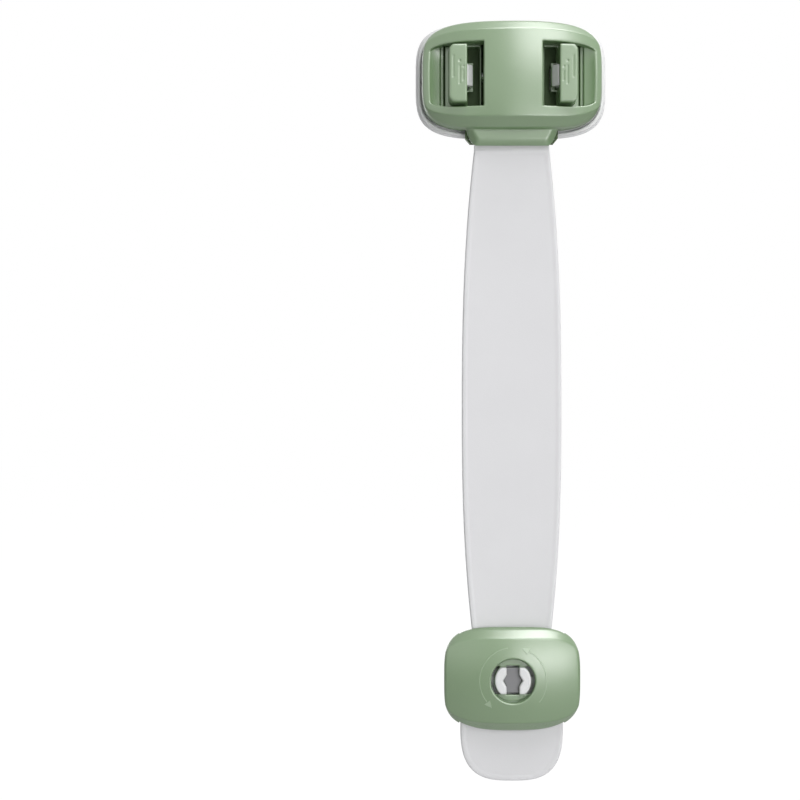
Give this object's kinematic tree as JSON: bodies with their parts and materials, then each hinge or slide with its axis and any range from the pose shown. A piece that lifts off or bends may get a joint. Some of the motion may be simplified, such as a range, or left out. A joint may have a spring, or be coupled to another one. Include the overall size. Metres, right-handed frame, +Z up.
{
  "type": "cabinet safety lock",
  "caption": "Stick-on cabinet safety lock: a pinch-release latch head, a soft strap and an adjuster block whose round lock clamps the strap",
  "frame": {"origin": "centre of the latch base's adhesive face, on the mounting surface", "axes": "+X to the viewer's right, +Y into the mounting surface, +Z up; the strap hangs down along -Z"},
  "size_m": [0.052, 0.014, 0.2068],
  "materials": {
    "green_plastic": "satin sage green",
    "white_plastic": "satin white",
    "grey_plastic": "matte light grey",
    "key_plastic": "matte dark grey",
    "soft_strap": "soft matte light grey",
    "foam": "closed-cell foam tape",
    "steel": "plain spring steel"
  },
  "bodies": {
    "latch": {"latch_base": "white_plastic", "latch_adhesive_pad": "foam"},
    "head": {"head_cover": "green_plastic", "head_back_plate": "green_plastic", "head_screws": "steel", "strap_anchor_pin": "steel", "left_button_spring": "steel", "right_button_spring": "steel"},
    "left_button": {"left_button": "green_plastic"},
    "right_button": {"right_button": "green_plastic"},
    "strap": {"strap": "soft_strap"},
    "adjuster": {"adjuster_cover": "green_plastic", "adjuster_base": "white_plastic", "adjuster_adhesive_pad": "foam", "adjuster_screws": "steel", "rotor_washer": "steel", "clamp_springs": "steel"},
    "rotor": {"lock_rotor": "green_plastic", "rotor_lugs": "white_plastic", "rotor_key_plate": "key_plastic"},
    "clamp": {"clamp_plate": "grey_plastic"}
  },
  "joints": [
    {"name": "head_release", "type": "slide", "parent": "latch", "child": "head", "axis": [0, -1, 0], "range_m": [0, 0.028]},
    {"name": "left_button_press", "type": "slide", "parent": "head", "child": "left_button", "axis": [1, 0, 0], "range_m": [0, 0.0024], "stiffness_N_per_m": 800, "springref_m": -0.003, "deforming": ["left_button_spring"]},
    {"name": "right_button_press", "type": "slide", "parent": "head", "child": "right_button", "axis": [-1, 0, 0], "range_m": [0, 0.0024], "stiffness_N_per_m": 800, "springref_m": -0.003, "deforming": ["right_button_spring"]},
    {"name": "strap_swing", "type": "hinge", "parent": "head", "child": "strap", "pos_m": [0, -0.0055, -0.0162], "axis": [1, 0, 0], "range_deg": [-6, 25]},
    {"name": "adjuster_slide", "type": "slide", "parent": "strap", "child": "adjuster", "axis": [0, 0, 1], "range_m": [-0.012, 0.12]},
    {"name": "rotor_turn", "type": "hinge", "parent": "adjuster", "child": "rotor", "pos_m": [0, 0, -0.1629], "axis": [0, -1, 0], "range_deg": [0, 90]},
    {"name": "clamp_lift", "type": "slide", "parent": "adjuster", "child": "clamp", "axis": [0, -1, 0], "range_m": [0, 0.0006], "deforming": ["clamp_springs"]}
  ],
  "couplings": [
    {"joint": "rotor_turn", "follows": "clamp_lift", "rad_per_m": 2618}
  ]
}
